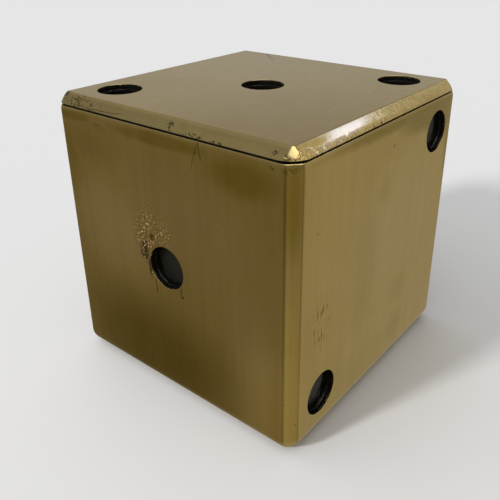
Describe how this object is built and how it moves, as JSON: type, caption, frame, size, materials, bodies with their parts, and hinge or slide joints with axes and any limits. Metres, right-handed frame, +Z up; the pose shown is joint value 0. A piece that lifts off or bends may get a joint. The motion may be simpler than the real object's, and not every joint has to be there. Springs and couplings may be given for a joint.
{
  "type": "dice-shaped ice bucket",
  "caption": "Brass die-shaped box with recessed black pips, a lift-off bevelled lid, foam insulation and a lift-out plastic ice liner.",
  "frame": {"origin": "centre of the footprint on the surface that the foot pads stand on", "axes": "+Z up through the lid; -Y out of the face with one pip; +X out of the face with two pips"},
  "size_m": [0.18, 0.18, 0.1812],
  "materials": {
    "lacquered_brass": "aged lacquered brushed sheet",
    "bare_brass": "bare, dull",
    "pip_black": "gloss walls, dull floor",
    "black_plastic": "satin",
    "liner_plastic": "satin gloss",
    "foam": "expanded bead foam",
    "black_rubber": "matte",
    "screw_steel": "zinc plated"
  },
  "bodies": {
    "body": {"back_foam_panel": "foam", "back_pip_cup_1": "pip_black", "back_pip_cup_2": "pip_black", "back_pip_cup_3": "pip_black", "back_pip_cup_4": "pip_black", "back_pip_cup_5": "pip_black", "back_pip_cup_6": "pip_black", "base_foam_panel": "foam", "base_pan": "lacquered_brass", "body_shell": "lacquered_brass", "bottom_pip_cup_1": "pip_black", "bottom_pip_cup_2": "pip_black", "bottom_pip_cup_3": "pip_black", "bottom_pip_cup_4": "pip_black", "collar_brackets": "bare_brass", "collar_screws": "screw_steel", "foot_pad_1": "black_rubber", "foot_pad_2": "black_rubber", "foot_pad_3": "black_rubber", "foot_pad_4": "black_rubber", "front_foam_panel": "foam", "front_pip_cup_1": "pip_black", "left_foam_panel": "foam", "left_pip_cup_1": "pip_black", "left_pip_cup_2": "pip_black", "left_pip_cup_3": "pip_black", "left_pip_cup_4": "pip_black", "left_pip_cup_5": "pip_black", "right_foam_panel": "foam", "right_pip_cup_1": "pip_black", "right_pip_cup_2": "pip_black", "rim_collar": "black_plastic"},
    "liner": {"ice_liner": "liner_plastic"},
    "lid": {"lid_bosses": "bare_brass", "lid_core_foam": "foam", "lid_gasket": "black_rubber", "lid_plug": "black_plastic", "lid_screws": "screw_steel", "lid_sheet_foam": "foam", "lid_shell": "lacquered_brass", "top_pip_cup_1": "pip_black", "top_pip_cup_2": "pip_black", "top_pip_cup_3": "pip_black"}
  },
  "joints": [
    {"name": "liner_lift", "type": "slide", "parent": "body", "child": "liner", "axis": [0, 0, 1], "range_m": [0, 0.17]},
    {"name": "lid_lift", "type": "slide", "parent": "liner", "child": "lid", "axis": [0, 0, 1], "range_m": [0, 0.15]}
  ]
}
